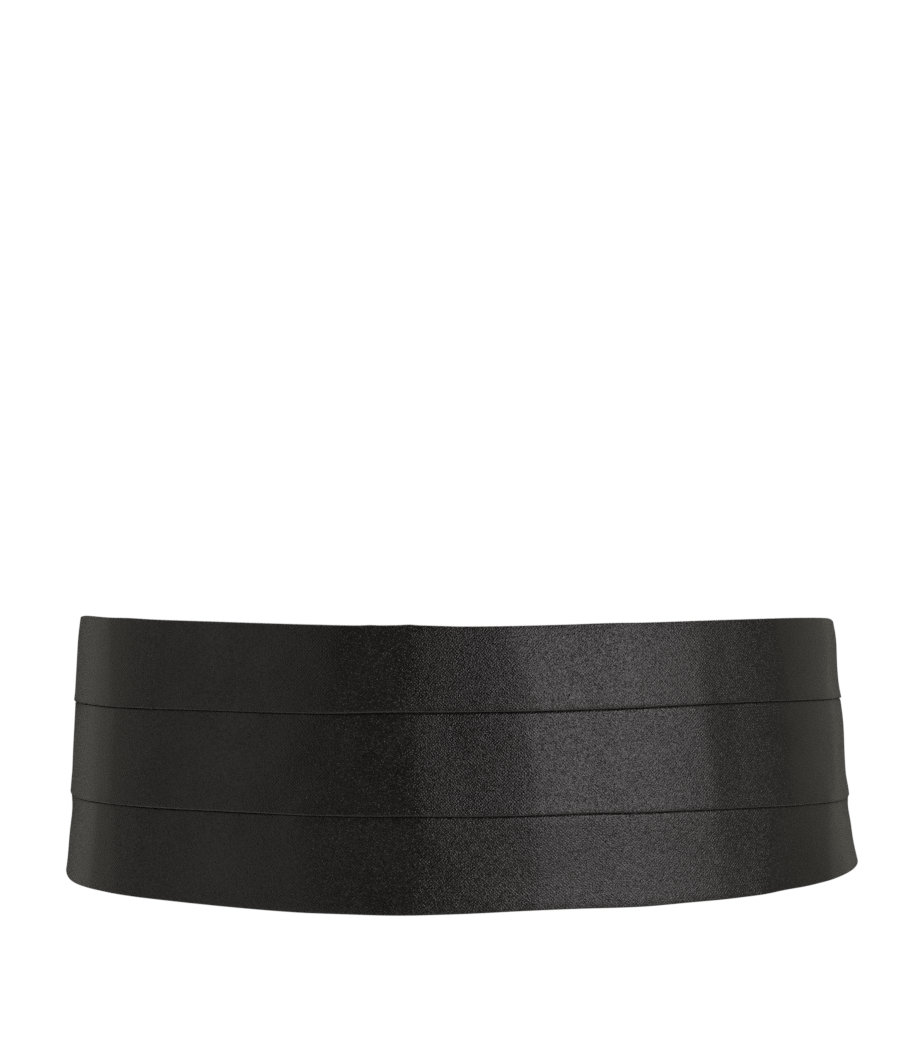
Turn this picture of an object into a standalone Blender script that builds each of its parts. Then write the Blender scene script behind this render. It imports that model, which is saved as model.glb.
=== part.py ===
"""Cummerbund, hollow as it is worn: a satin front laid in two knife pleats, tapering at the
back to two straps that hook together.

Metres, +Z up, front towards -Y. The origin is on the waist line, in the middle of the hollow.
Angles run round the waist in degrees: 0 at centre front, +90 at the right side (+X), 180 at
centre back. "Out" is the distance from the hollow's surface, away from its middle.
"""

from collections import namedtuple
from math import cos, pi, radians, sin, tan

import bmesh
import bpy
import numpy as np

MM = 0.001
SAME_POINT = 0.01 * MM
SHARP_ANGLE = radians(35)

# --- The hollow: an oval, straight across the small of the back, flaring below the waist ---
WAIST_HALF_LEFT = 165.5 * MM
WAIST_HALF_RIGHT = 161.8 * MM
HIP_HALF_LEFT = 172.0 * MM
HIP_HALF_RIGHT = 171.7 * MM
FRONT_DEPTH = 113.0 * MM
HIP_EXTRA_DEPTH = 2.0 * MM
BACK_DEPTH = 113.0 * MM
BACK_FLAT_HALF = 45.0 * MM
FLARE_START = 45.0 * MM
FLARE_END = -57.5 * MM
FLARE_POWER = 1.5

# --- The pleated front ---
CLOTH = 1.0 * MM
LAYER_GAP = 0.3 * MM
FRONT_END_ANGLE = 130.0
FRONT_STATIONS = 53
TOP_EDGE_OUT = 1.0 * MM
HEM_OUT = 1.4 * MM
LEAN_STEPS = 5
FOLD_STEPS = 4
BAND_3_STEPS = 5

# Heights of the edges and folded edges round the waist, and how deep each pleat is folded.
Section = namedtuple("Section", "angle top fold_1 fold_2 hem tuck")
SECTIONS_MM = (
    Section(-130, 21.0, 7.0, -7.0, -21.0, 5.0),
    Section(-112, 40.0, 14.0, -12.5, -37.5, 9.0),
    Section(-96, 54.5, 19.0, -17.8, -50.5, 12.0),
    Section(-80, 58.4, 20.7, -19.8, -54.3, 13.0),
    Section(-60, 58.9, 21.4, -19.1, -55.3, 13.0),
    Section(-40, 58.8, 22.2, -18.5, -55.6, 13.0),
    Section(-20, 58.1, 22.2, -18.6, -56.7, 13.0),
    Section(0, 57.5, 22.9, -18.3, -56.3, 13.0),
    Section(20, 58.2, 23.9, -17.5, -54.5, 13.0),
    Section(40, 59.1, 24.9, -18.0, -53.8, 13.0),
    Section(60, 59.0, 24.0, -19.3, -51.9, 13.0),
    Section(80, 57.1, 22.4, -20.6, -49.3, 13.0),
    Section(96, 53.5, 20.0, -18.4, -46.0, 12.0),
    Section(112, 39.5, 14.2, -12.7, -35.5, 9.0),
    Section(130, 21.0, 7.0, -7.0, -21.0, 5.0),
)

# --- The back straps ---
STRAP_WIDTH = 34.0 * MM
STRAP = 1.2 * MM
STRAP_GAP = 0.3 * MM
STRAP_START_ANGLE = 124.5
STRAP_RISE_ANGLE = 150.0
STRAP_STATIONS = 13
STRAP_TURN_STEPS = 8
STRAP_CROSSING = radians(30)

# --- The loop and the hooked slide, at centre back ---
SLIDE_INNER_FACE = 2.5 * MM
SLIDE = 1.2 * MM
SLIDE_HALF_HEIGHT = 20.4 * MM
SLOT_HALF_HEIGHT = 17.4 * MM
BAR_A = (6.0 * MM, 8.6 * MM)
BAR_B = (12.0 * MM, 14.0 * MM)
BAR_C = (20.0 * MM, 22.0 * MM)
HOOK = 1.0 * MM
HOOK_HALF_WIDTH = 7.0 * MM
HOOK_ROOT = 7.4 * MM
HOOK_STEP = (4.6 * MM, 2.2 * MM)
HOOK_TIP = 3.8 * MM
HOOK_TURN_STEPS = 8
LOOP_WIRE = 2.0 * MM
LOOP_SPAN = 15.0 * MM
LOOP_HALF_HEIGHT = 20.5 * MM
LOOP_CORNER = 3.0 * MM
LOOP_CORNER_STEPS = 4
WIRE_ROUNDNESS = 2
FOLD_BACK_TAPER = 5.5 * MM
FOLD_BACK_END = 38.0 * MM
RETURN_END = 42.0 * MM

# Levels at centre back, worked out from the slide: "out" of each layer's middle.
STRAP_LEVEL = -STRAP_GAP - STRAP / 2
MAIN_LEVEL = SLIDE_INNER_FACE - STRAP_GAP - STRAP / 2
OVER_LEVEL = SLIDE_INNER_FACE + SLIDE + STRAP_GAP + STRAP / 2
INNER_LEVEL = MAIN_LEVEL - STRAP - STRAP_GAP
WRAP_RADIUS = LOOP_WIRE / 2 + STRAP_GAP + STRAP / 2
LOOP_LEVEL = MAIN_LEVEL - WRAP_RADIUS
HOOK_RADIUS = LOOP_WIRE / 2 + STRAP_GAP + HOOK / 2

# --- Materials: colour, roughness, metallic ---
SATIN = ("satin", (0.012, 0.012, 0.011), 0.38, 0.0)
WEBBING = ("webbing", (0.010, 0.010, 0.010), 0.75, 0.0)
BLACK_METAL = ("black_metal", (0.030, 0.030, 0.032), 0.35, 1.0)


def clear_scene():
    for obj in list(bpy.data.objects):
        bpy.data.objects.remove(obj, do_unlink=True)


def make_collection(name):
    collection = bpy.data.collections.new(name)
    bpy.context.scene.collection.children.link(collection)
    return collection


def make_material(name, colour, roughness, metallic):
    material = bpy.data.materials.new(name)
    material.use_nodes = True
    shader = material.node_tree.nodes["Principled BSDF"]
    shader.inputs["Base Color"].default_value = (*colour, 1.0)
    shader.inputs["Roughness"].default_value = roughness
    shader.inputs["Metallic"].default_value = metallic
    return material


def smoothstep(value):
    value = min(max(value, 0.0), 1.0)
    return value * value * (3.0 - 2.0 * value)


def section_at(angle):
    """The row of SECTIONS_MM at any angle, each column read off a smooth curve, in metres."""
    angles = np.array([row.angle for row in SECTIONS_MM], float)
    left = int(np.clip(np.searchsorted(angles, angle) - 1, 0, len(angles) - 2))
    span = angles[left + 1] - angles[left]
    u = (angle - angles[left]) / span
    values = []
    for name in Section._fields[1:]:
        column = np.array([getattr(row, name) for row in SECTIONS_MM])
        slope = np.gradient(column, angles) * span
        start = (1 + 2 * u) * (1 - u) ** 2 * column[left] + u * (1 - u) ** 2 * slope[left]
        end = u * u * (3 - 2 * u) * column[left + 1] + u * u * (u - 1) * slope[left + 1]
        values.append((start + end) * MM)
    return Section(angle, *values)


def flare(z):
    """0 at the waist, growing to 1 at the hem."""
    return max(0.0, (FLARE_START - z) / (FLARE_START - FLARE_END)) ** FLARE_POWER


def hollow_point(angle, z, out):
    """A point beside the hollow's surface, at an angle round the waist and a height."""
    side = -1.0 if angle < 0 else 1.0
    turn = radians(abs(angle))
    waist, hip = WAIST_HALF_RIGHT, HIP_HALF_RIGHT
    if side < 0:
        waist, hip = WAIST_HALF_LEFT, HIP_HALF_LEFT
    half_width = waist + (hip - waist) * flare(z)
    flat, depth = 0.0, FRONT_DEPTH + HIP_EXTRA_DEPTH * flare(z)
    if turn > pi / 2:
        flat, depth = BACK_FLAT_HALF, BACK_DEPTH
    round_width = half_width - flat
    normal = np.array((sin(turn) / round_width, -cos(turn) / depth))
    normal /= np.hypot(*normal)
    x = flat + round_width * sin(turn) + out * normal[0]
    y = -depth * cos(turn) + out * normal[1]
    return (side * x, y, z)


def half_circle(centre, radius, start, turn, steps):
    """Points of a half turn in a plane, without its first point; turn is +1 or -1."""
    points = []
    for step in range(1, steps + 1):
        angle = start + turn * pi * step / steps
        points.append((centre[0] + radius * cos(angle), centre[1] + radius * sin(angle)))
    return points


def lean(start, end, steps):
    """Points of a band's slant, without its first: it leaves start fast and nears end slowly."""
    points = []
    for step in range(1, steps + 1):
        u = step / steps
        out = start[0] + (end[0] - start[0]) * sin(u * pi / 2)
        points.append((out, start[1] + (end[1] - start[1]) * u))
    return points


def pleat_path(row):
    """The cloth's middle line from the top edge to the hem, as (out, z), at one section.

    Each band leans out to its folded edge, turns back up behind itself by the pleat's depth,
    and folds down again as the next band.
    """
    pitch = CLOTH + LAYER_GAP
    inner, middle, outer = CLOTH / 2, CLOTH / 2 + pitch, CLOTH / 2 + 2 * pitch
    turned = pitch / 2 + CLOTH / 2
    path = [(TOP_EDGE_OUT, row.top)]
    for fold in (row.fold_1, row.fold_2):
        path += lean(path[-1], (outer, fold + row.tuck + turned), LEAN_STEPS)
        edge_z, tuck_z = fold + turned, fold + row.tuck
        path.append((outer, edge_z))
        path += half_circle((middle + pitch / 2, edge_z), pitch / 2, 0.0, -1, FOLD_STEPS)
        path.append((middle, tuck_z))
        path += half_circle((inner + pitch / 2, tuck_z), pitch / 2, 0.0, 1, FOLD_STEPS)
        path.append((inner, fold))
    return path + lean(path[-1], (HEM_OUT, row.hem), BAND_3_STEPS)


def sheet(name, rows, thickness, material, collection):
    """An open surface through rows of points, given its thickness evenly to both sides."""
    mesh = bpy.data.meshes.new(name)
    across = len(rows[0])
    faces = []
    for row in range(len(rows) - 1):
        for column in range(across - 1):
            first = row * across + column
            faces.append((first, first + across, first + across + 1, first + 1))
    mesh.from_pydata([point for row in rows for point in row], [], faces)
    mesh.materials.append(material)
    mesh.shade_smooth()
    mesh.set_sharp_from_angle(angle=SHARP_ANGLE)
    obj = bpy.data.objects.new(name, mesh)
    collection.objects.link(obj)
    wall = obj.modifiers.new("Wall", "SOLIDIFY")
    wall.thickness = thickness
    wall.offset = 0.0
    wall.use_even_offset = True
    return obj


def build_pleated_front(material, collection):
    rows = []
    for angle in np.linspace(-FRONT_END_ANGLE, FRONT_END_ANGLE, FRONT_STATIONS):
        path = pleat_path(section_at(angle))
        rows.append([hollow_point(angle, z, out) for out, z in path])
    return sheet("pleated_front", rows, CLOTH, material, collection)


def strap_rows(side, back_path):
    """Rows of a strap: round the hollow from under the front's end, then along back_path.

    back_path holds (distance from centre back towards the strap's own side, out).
    """
    rows = []
    edges = (-STRAP_WIDTH / 2, STRAP_WIDTH / 2)
    for angle in np.linspace(STRAP_START_ANGLE, 180.0, STRAP_STATIONS):
        rise = smoothstep((angle - STRAP_RISE_ANGLE) / (180.0 - STRAP_RISE_ANGLE))
        out = STRAP_LEVEL + (MAIN_LEVEL - STRAP_LEVEL) * rise
        rows.append([hollow_point(side * angle, z, out) for z in edges])
    for distance, out in back_path:
        rows.append([(side * distance, BACK_DEPTH + out, z) for z in edges])
    return rows


def build_loop_strap(material, collection):
    """The strap that folds round the loop's far bar and is sewn back on itself."""
    path = [(LOOP_SPAN, MAIN_LEVEL)]
    path += half_circle((LOOP_SPAN, LOOP_LEVEL), WRAP_RADIUS, pi / 2, 1, STRAP_TURN_STEPS)
    path.append((LOOP_SPAN + FOLD_BACK_TAPER, INNER_LEVEL))
    path.append((FOLD_BACK_END, INNER_LEVEL))
    return sheet("loop_strap", strap_rows(-1, path), STRAP, material, collection)


def build_hook_strap(material, collection):
    """The strap that crosses the slide's slots, over its middle bar, and returns inside."""
    half_rise = (OVER_LEVEL - MAIN_LEVEL) / 2
    slot_middle = (BAR_B[1] + BAR_C[0]) / 2
    run = half_rise / tan(STRAP_CROSSING)
    turn_level = (OVER_LEVEL + INNER_LEVEL) / 2
    turn_radius = (OVER_LEVEL - INNER_LEVEL) / 2
    path = [(slot_middle + run, MAIN_LEVEL), (slot_middle - run, OVER_LEVEL), (BAR_B[0], OVER_LEVEL)]
    path += half_circle((BAR_B[0], turn_level), turn_radius, pi / 2, 1, STRAP_TURN_STEPS)
    path.append((RETURN_END, INNER_LEVEL))
    return sheet("hook_strap", strap_rows(1, path), STRAP, material, collection)


def build_eye_loop(material, collection):
    """A wire bent into a rectangle with round corners, between the two straps."""
    curve = bpy.data.curves.new("eye_loop", "CURVE")
    curve.dimensions = "3D"
    curve.bevel_depth = LOOP_WIRE / 2
    curve.bevel_resolution = WIRE_ROUNDNESS
    points = []
    half_height = LOOP_HALF_HEIGHT - LOOP_CORNER
    corners = (
        (-LOOP_CORNER, half_height, 0.0),
        (-LOOP_SPAN + LOOP_CORNER, half_height, pi / 2),
        (-LOOP_SPAN + LOOP_CORNER, -half_height, pi),
        (-LOOP_CORNER, -half_height, 3 * pi / 2),
    )
    for x, z, start in corners:
        for step in range(LOOP_CORNER_STEPS + 1):
            angle = start + pi / 2 * step / LOOP_CORNER_STEPS
            points.append((x + LOOP_CORNER * cos(angle), z + LOOP_CORNER * sin(angle)))
    spline = curve.splines.new("POLY")
    spline.points.add(len(points) - 1)
    for point, (x, z) in zip(spline.points, points):
        point.co = (x, BACK_DEPTH + LOOP_LEVEL, z, 1.0)
    spline.use_cyclic_u = True
    curve.materials.append(material)
    obj = bpy.data.objects.new("eye_loop", curve)
    collection.objects.link(obj)
    return obj


def rectangle_spline(curve, low, high):
    """A closed rectangle, between two corners, in a flat curve."""
    spline = curve.splines.new("POLY")
    spline.points.add(3)
    corners = ((low[0], low[1]), (high[0], low[1]), (high[0], high[1]), (low[0], high[1]))
    for point, (x, y) in zip(spline.points, corners):
        point.co = (x, y, 0.0, 1.0)
    spline.use_cyclic_u = True


def slide_frame(material):
    """The flat plate with two slots, standing across the back, as a mesh."""
    curve = bpy.data.curves.new("slide_frame", "CURVE")
    curve.dimensions = "2D"
    curve.fill_mode = "BOTH"
    curve.extrude = SLIDE / 2
    rectangle_spline(curve, (BAR_A[0], -SLIDE_HALF_HEIGHT), (BAR_C[1], SLIDE_HALF_HEIGHT))
    rectangle_spline(curve, (BAR_A[1], -SLOT_HALF_HEIGHT), (BAR_B[0], SLOT_HALF_HEIGHT))
    rectangle_spline(curve, (BAR_B[1], -SLOT_HALF_HEIGHT), (BAR_C[0], SLOT_HALF_HEIGHT))
    outline = bpy.data.objects.new("slide_frame", curve)
    bpy.context.scene.collection.objects.link(outline)
    outline.rotation_euler = (pi / 2, 0.0, 0.0)
    outline.location = (0.0, BACK_DEPTH + SLIDE_INNER_FACE + SLIDE / 2, 0.0)
    bpy.context.view_layer.update()
    graph = bpy.context.evaluated_depsgraph_get()
    mesh = bpy.data.meshes.new_from_object(outline.evaluated_get(graph))
    mesh.transform(outline.matrix_world)
    bpy.data.objects.remove(outline, do_unlink=True)
    cleaned = bmesh.new()
    cleaned.from_mesh(mesh)
    bmesh.ops.remove_doubles(cleaned, verts=cleaned.verts, dist=SAME_POINT)
    bmesh.ops.recalc_face_normals(cleaned, faces=cleaned.faces)
    cleaned.to_mesh(mesh)
    cleaned.free()
    mesh.materials.clear()
    mesh.materials.append(material)
    return mesh


def build_hook_slide(material, collection, cutters):
    """The slotted plate, joined to a tongue that steps down and curls round the loop's bar."""
    plate_level = SLIDE_INNER_FACE + SLIDE / 2
    over_bar = LOOP_LEVEL + HOOK_RADIUS
    path = [(HOOK_ROOT, plate_level), (HOOK_STEP[0], plate_level), (HOOK_STEP[1], over_bar)]
    path.append((0.0, over_bar))
    path += half_circle((0.0, LOOP_LEVEL), HOOK_RADIUS, pi / 2, 1, HOOK_TURN_STEPS)
    path.append((HOOK_TIP, LOOP_LEVEL - HOOK_RADIUS))
    edges = (-HOOK_HALF_WIDTH, HOOK_HALF_WIDTH)
    rows = [[(x, BACK_DEPTH + out, z) for z in edges] for x, out in path]
    tongue = sheet("hook_tongue", rows, HOOK, material, cutters)
    tongue.hide_render = True
    tongue.display_type = "WIRE"
    obj = bpy.data.objects.new("hook_slide", slide_frame(material))
    collection.objects.link(obj)
    joined = obj.modifiers.new("Tongue", "BOOLEAN")
    joined.operation = "UNION"
    joined.object = tongue
    return obj


def main():
    clear_scene()
    collection = make_collection("Cummerbund")
    cutters = make_collection("Cutters")
    satin = make_material(*SATIN)
    webbing = make_material(*WEBBING)
    metal = make_material(*BLACK_METAL)
    build_pleated_front(satin, collection)
    build_loop_strap(webbing, collection)
    build_hook_strap(webbing, collection)
    build_eye_loop(metal, collection)
    build_hook_slide(metal, collection, cutters)


main()
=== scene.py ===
"""Looks of the cummerbund: satin folded in two knife pleats, ribbed elastic straps, black hooks.

Metres, +Z up, front towards -Y, as in the frame. "Along" is the distance round the waist from
centre front, positive towards +X. "Out" is the distance from the hollow's surface, away from its
middle. "Right side" is the cloth's shiny face.
"""

from collections import namedtuple
from math import cos, pi, radians, sin, tan

import bmesh
import bpy
import numpy as np
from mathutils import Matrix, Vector
from mathutils.bvhtree import BVHTree


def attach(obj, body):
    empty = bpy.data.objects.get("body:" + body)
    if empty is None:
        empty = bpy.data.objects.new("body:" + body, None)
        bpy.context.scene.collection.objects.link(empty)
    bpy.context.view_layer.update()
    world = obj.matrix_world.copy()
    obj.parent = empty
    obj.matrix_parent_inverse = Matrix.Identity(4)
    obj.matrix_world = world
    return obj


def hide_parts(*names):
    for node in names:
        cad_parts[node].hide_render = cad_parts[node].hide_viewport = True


MM = 0.001
TINY = 1e-12

# --- The hollow: an oval, straight across the small of the back, flaring below the waist ---
WAIST_HALF_LEFT = 165.5 * MM
WAIST_HALF_RIGHT = 161.8 * MM
HIP_HALF_LEFT = 172.0 * MM
HIP_HALF_RIGHT = 171.7 * MM
FRONT_DEPTH = 113.0 * MM
HIP_EXTRA_DEPTH = 2.0 * MM
BACK_DEPTH = 113.0 * MM
BACK_FLAT_HALF = 45.0 * MM
FLARE_START = 45.0 * MM
FLARE_END = -57.5 * MM
FLARE_POWER = 1.5

# --- The pleated front: heights of its edges and folds round the waist, as in the solids ---
Section = namedtuple("Section", "angle top fold_1 fold_2 hem tuck")
SECTIONS_MM = (
    Section(-130, 21.0, 7.0, -7.0, -21.0, 5.0),
    Section(-112, 40.0, 14.0, -12.5, -37.5, 9.0),
    Section(-96, 54.5, 19.0, -17.8, -50.5, 12.0),
    Section(-80, 58.4, 20.7, -19.8, -54.3, 13.0),
    Section(-60, 58.9, 21.4, -19.1, -55.3, 13.0),
    Section(-40, 58.8, 22.2, -18.5, -55.6, 13.0),
    Section(-20, 58.1, 22.2, -18.6, -56.7, 13.0),
    Section(0, 57.5, 22.9, -18.3, -56.3, 13.0),
    Section(20, 58.2, 23.9, -17.5, -54.5, 13.0),
    Section(40, 59.1, 24.9, -18.0, -53.8, 13.0),
    Section(60, 59.0, 24.0, -19.3, -51.9, 13.0),
    Section(80, 57.1, 22.4, -20.6, -49.3, 13.0),
    Section(96, 53.5, 20.0, -18.4, -46.0, 12.0),
    Section(112, 39.5, 14.2, -12.7, -35.5, 9.0),
    Section(130, 21.0, 7.0, -7.0, -21.0, 5.0),
)
FRONT_END_ANGLE = 130.0
FULL_TUCK = 13.0 * MM

# The cloth's layers: its thickness and the "out" of its middle line on each of them. The first
# level holds where the pleats are open, and the second where they are pressed into the strap.
SATIN_THICKNESS = 0.40 * MM
Levels = namedtuple("Levels", "inner middle outer top hem")
OPEN_LEVELS = Levels(2.40 * MM, 2.90 * MM, 3.40 * MM, 1.30 * MM, 1.70 * MM)
PRESSED_LEVELS = Levels(0.35 * MM, 0.80 * MM, 1.25 * MM, 1.25 * MM, 0.80 * MM)
PRESSING_STARTS = 108.0
EDGE_RADIUS = 0.30 * MM
EDGE_TURNED_IN = 9.0 * MM
# Below a fold the next band comes out from under it over this height, by this share of the way
# from the inner to the outer layer, quickly at first; every folded edge turns out a little.
GROOVE_HEIGHT = 1.3 * MM
GROOVE_SHARE = 0.66
GROOVE_POWER = 1.6
LIP_HEIGHT = 5.0 * MM
LIP_FLARE = 0.25 * MM
# How far a tucked layer keeps from the band that covers it, and how softly it lifts that band
CLEARANCE = 0.10 * MM
CLEARANCE_SOFTNESS = 0.05 * MM

# How finely the shell is divided
COLUMNS = 490
COLUMN_SPACING = 3.0 * MM
WAIST_STEPS = 4001
PLACING_STEPS = 6001
BAND_STEPS = 11
GROOVE_STEPS = 6
LIP_STEPS = 3
FOLD_STEPS = 6
HIDDEN_STEPS = 2
TUCK_STEPS = 4

# --- Unevenness of the edges and folds: how far a line rises about a place, in millimetres ---
Waver = namedtuple("Waver", "line along rise half_width")
WAVERS = (
    Waver("top", -155, 0.20, 12),
    Waver("top", -37, 0.20, 3),
    Waver("top", -24, 0.40, 11),
    Waver("top", -21, 0.25, 3),
    Waver("top", -12, 0.25, 9),
    Waver("top", 45, 0.20, 60),
    Waver("top", 62, 0.25, 12),
    Waver("top", 214, -0.50, 10),
    Waver("fold_1", -228, 0.50, 12),
    Waver("fold_1", -28, 0.40, 16),
    Waver("fold_1", -5, 0.25, 30),
    Waver("fold_1", 150, 0.20, 22),
    Waver("fold_2", -88, 0.30, 26),
    Waver("fold_2", -17, 0.35, 16),
    Waver("fold_2", 73, -0.30, 16),
    Waver("hem", -216, 0.55, 13),
    Waver("hem", -28, -0.22, 14),
    Waver("hem", 24, 0.48, 24),
    Waver("hem", 60, -0.35, 18),
    Waver("hem", 75, -0.38, 14),
    Waver("hem", 140, 0.32, 9),
    Waver("hem", 232, 0.45, 11),
)
# All round, the cloth's top edge and folds lie this much above the solids', and its hem below
TOP_RAISE = 0.14 * MM
FOLD_RAISE = 0.62 * MM
HEM_DROP = 0.40 * MM

# --- Creases: soft ridges and troughs of the cloth, in millimetres and degrees ---
# turn is how far the cloth bends over a crease, less than nothing in a trough; reach is how far
# its sides die away; soft is how wide the bend itself is.
Bend = namedtuple("Bend", "turn reach soft")
SHARP = Bend(7.5, 16, 2.5)
BROAD = Bend(8.0, 20, 4.0)
SMALL = Bend(5.0, 8, 2.0)
TROUGH = Bend(-7.0, 18, 3.0)
DIP = Bend(-4.5, 12, 3.0)
# band 0 is the upper one; along and height are its middle; lean is from upright, towards +X at
# the top; run is half its length.
Crease = namedtuple("Crease", "band along height lean run bend")
# A crease dies away towards both ends, and is gone at this many runs from its middle.
CREASE_END = 1.5
CREASES = (
    Crease(0, -262, 24, 10, 34, SMALL),
    Crease(0, -232, 40, -8, 40, SHARP),
    Crease(0, -165, 38, -10, 50, SMALL),
    Crease(0, -134, 38, 10, 50, SHARP),
    Crease(0, -52, 40, 10, 50, BROAD),
    Crease(0, -18, 50, 15, 45, BROAD),
    Crease(0, 26, 38, -20, 45, SHARP),
    Crease(0, 47, 40, -10, 50, TROUGH),
    Crease(0, 70, 35, -5, 50, SHARP),
    Crease(0, 103, 30, 0, 30, SMALL),
    Crease(0, 117, 52, 15, 40, DIP),
    Crease(0, 148, 35, -10, 45, SHARP),
    Crease(0, 186, 40, 10, 45, SHARP),
    Crease(0, 226, 42, 8, 42, SHARP),
    Crease(0, 258, 26, -12, 34, DIP),
    Crease(1, -283, 0, 6, 24, SMALL),
    Crease(1, -256, -4, -8, 40, DIP),
    Crease(1, -224, 2, 4, 44, SHARP),
    Crease(1, -161, 0, 0, 45, SMALL),
    Crease(1, -131, 5, 5, 45, SHARP),
    Crease(1, -74, 2, 40, 45, BROAD),
    Crease(1, -19, 0, 0, 45, SHARP),
    Crease(1, 3, -8, -15, 40, DIP),
    Crease(1, 30, -6, -10, 35, SHARP),
    Crease(1, 50, 0, 0, 45, TROUGH),
    Crease(1, 105, 2, -5, 45, SHARP),
    Crease(1, 119, 0, 0, 45, TROUGH),
    Crease(1, 147, 0, 0, 45, SHARP),
    Crease(1, 186, 0, 5, 40, SHARP),
    Crease(1, 232, 0, -6, 44, SHARP),
    Crease(1, 270, 2, 8, 30, SMALL),
    Crease(2, -266, -28, 12, 26, SMALL),
    Crease(2, -238, -36, -10, 40, SHARP),
    Crease(2, -172, -35, 5, 45, SMALL),
    Crease(2, -156, -40, -5, 40, SMALL),
    Crease(2, -142, -35, -5, 45, SMALL),
    Crease(2, -114, -40, 0, 40, SMALL),
    Crease(2, -97, -30, 10, 30, SMALL),
    Crease(2, -63, -38, -5, 45, BROAD),
    Crease(2, -17, -35, 5, 45, SHARP),
    Crease(2, -8, -30, -35, 20, SMALL),
    Crease(2, 18, -28, 25, 20, SMALL),
    Crease(2, 25, -50, 5, 12, DIP),
    Crease(2, 29, -38, 5, 45, SHARP),
    Crease(2, 52, -38, 10, 40, TROUGH),
    Crease(2, 107, -35, 0, 45, SMALL),
    Crease(2, 121, -35, 5, 45, DIP),
    Crease(2, 134, -30, 15, 45, SHARP),
    Crease(2, 172, -40, 10, 45, SHARP),
    Crease(2, 222, -40, 10, 40, DIP),
    Crease(2, 248, -34, -6, 38, SHARP),
    Crease(2, 276, -18, 10, 20, SMALL),
)

# The shell's columns stand closer together about a crease, in millimetres: over its lean, on up to
# CLOSE_RUN of its run, and over its bend. Reach and spacing both grow with the bend's softness.
CLOSE_RUN = 20
CLOSE_REACH = 1.0
CLOSE_REACH_GROWTH = 1.6
CLOSE_SPACING = 0.35
CLOSE_SPACING_GROWTH = 0.45

# --- Swells: broad rises and dips of a band, in millimetres; along and height are the middle ---
SWELL_HALF_LENGTH = 34
Swell = namedtuple("Swell", "band along height push half_height")
SWELLS = (
    Swell(0, -212, 40, -0.5, 40),
    Swell(1, -212, 0, -0.9, 40),
    Swell(2, -212, -38, -0.4, 40),
    Swell(0, 214, 40, -0.8, 40),
    Swell(1, 214, 0, -0.4, 40),
    Swell(2, 214, -38, 0.8, 40),
    Swell(0, -212, 50, 0.6, 12),
    Swell(1, -212, -17, -0.7, 13),
    Swell(2, -212, -25, -1.1, 9),
    Swell(2, -212, -60, 0.5, 8),
    Swell(0, 214, 48, 0.9, 9),
    Swell(1, 214, 12, 0.9, 12),
    Swell(1, 214, -18, -0.5, 10),
    Swell(2, 214, -24, -0.9, 6),
    Swell(2, 214, -54, 1.8, 12),
)

# --- The straps: ribbed elastic webbing ---
STRAP_WIDTH = 34.0 * MM
STRAP = 1.2 * MM
STRAP_GAP = 0.3 * MM
STRAP_START_ANGLE = 124.5
STRAP_RISE_ANGLE = 150.0
STRAP_ROW_SPACING = 1.6 * MM
STRAP_SOFTENING = 0.7 * MM
STRAP_STATIONS = 60
RIB_COUNT = 18
RIB_STEPS = 4
# How deep the ribs are, as a share of the strap's thickness, and how broad their tops
RIB_DEPTH = 0.22
RIB_POWER = 0.7
STRAP_CROSSING = radians(30)

# --- The loop and the hooked slide, at centre back, as in the solids ---
SLIDE_INNER_FACE = 2.5 * MM
SLIDE = 1.2 * MM
SLIDE_HALF_HEIGHT = 20.4 * MM
SLOT_HALF_HEIGHT = 17.4 * MM
BAR_A = (6.0 * MM, 8.6 * MM)
BAR_B = (12.0 * MM, 14.0 * MM)
BAR_C = (20.0 * MM, 22.0 * MM)
SLIDE_CORNER = 2.2 * MM
SLOT_CORNER = 0.7 * MM
SLIDE_ROUNDING = 0.35 * MM
SLIDE_ROUNDING_STEPS = 3
SLIDE_WELD = 0.002 * MM
SLIDE_SHARP = radians(40)
HOOK = 1.0 * MM
HOOK_HALF_WIDTH = 7.0 * MM
HOOK_ROOT = 7.4 * MM
HOOK_STEP = (4.6 * MM, 2.2 * MM)
HOOK_TIP = 3.8 * MM
HOOK_TIP_LENGTH = 0.45 * HOOK_HALF_WIDTH
HOOK_TIP_WIDTH = 0.55
HOOK_SPACING = 0.35 * MM
HOOK_SOFTENING = 0.25 * MM
# The hook's columns nearest to its edges, in half thicknesses from them
HOOK_EDGE_COLUMNS = (0.0, 0.1, 0.35, 0.7, 1.0)
HOOK_MIDDLE_COLUMNS = 6
LOOP_WIRE = 2.0 * MM
LOOP_SPAN = 15.0 * MM
LOOP_HALF_HEIGHT = 20.5 * MM
LOOP_CORNER = 3.0 * MM
LOOP_CORNER_STEPS = 12
WIRE_SIDES = 20
FOLD_BACK_TAPER = 5.5 * MM
FOLD_BACK_END = 38.0 * MM
RETURN_END = 42.0 * MM
TURN_STEPS = 16
CORNER_STEPS = 6
# A path's corners are rounded on this many steps for each of its own, over this many softenings.
PATH_FINENESS = 8
AVERAGE_REACH = 3

# Levels are the "out" of a middle line; the loop's and hook's turns lie about the wire.
STRAP_SEWN_LEVEL = PRESSED_LEVELS.inner - SATIN_THICKNESS / 2 - STRAP / 2
MAIN_LEVEL = SLIDE_INNER_FACE - STRAP_GAP - STRAP / 2
OVER_LEVEL = SLIDE_INNER_FACE + SLIDE + STRAP_GAP + STRAP / 2
INNER_LEVEL = MAIN_LEVEL - STRAP - STRAP_GAP
WRAP_RADIUS = LOOP_WIRE / 2 + STRAP_GAP + STRAP / 2
LOOP_LEVEL = MAIN_LEVEL - WRAP_RADIUS
HOOK_RADIUS = LOOP_WIRE / 2 + STRAP_GAP + HOOK / 2

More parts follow.
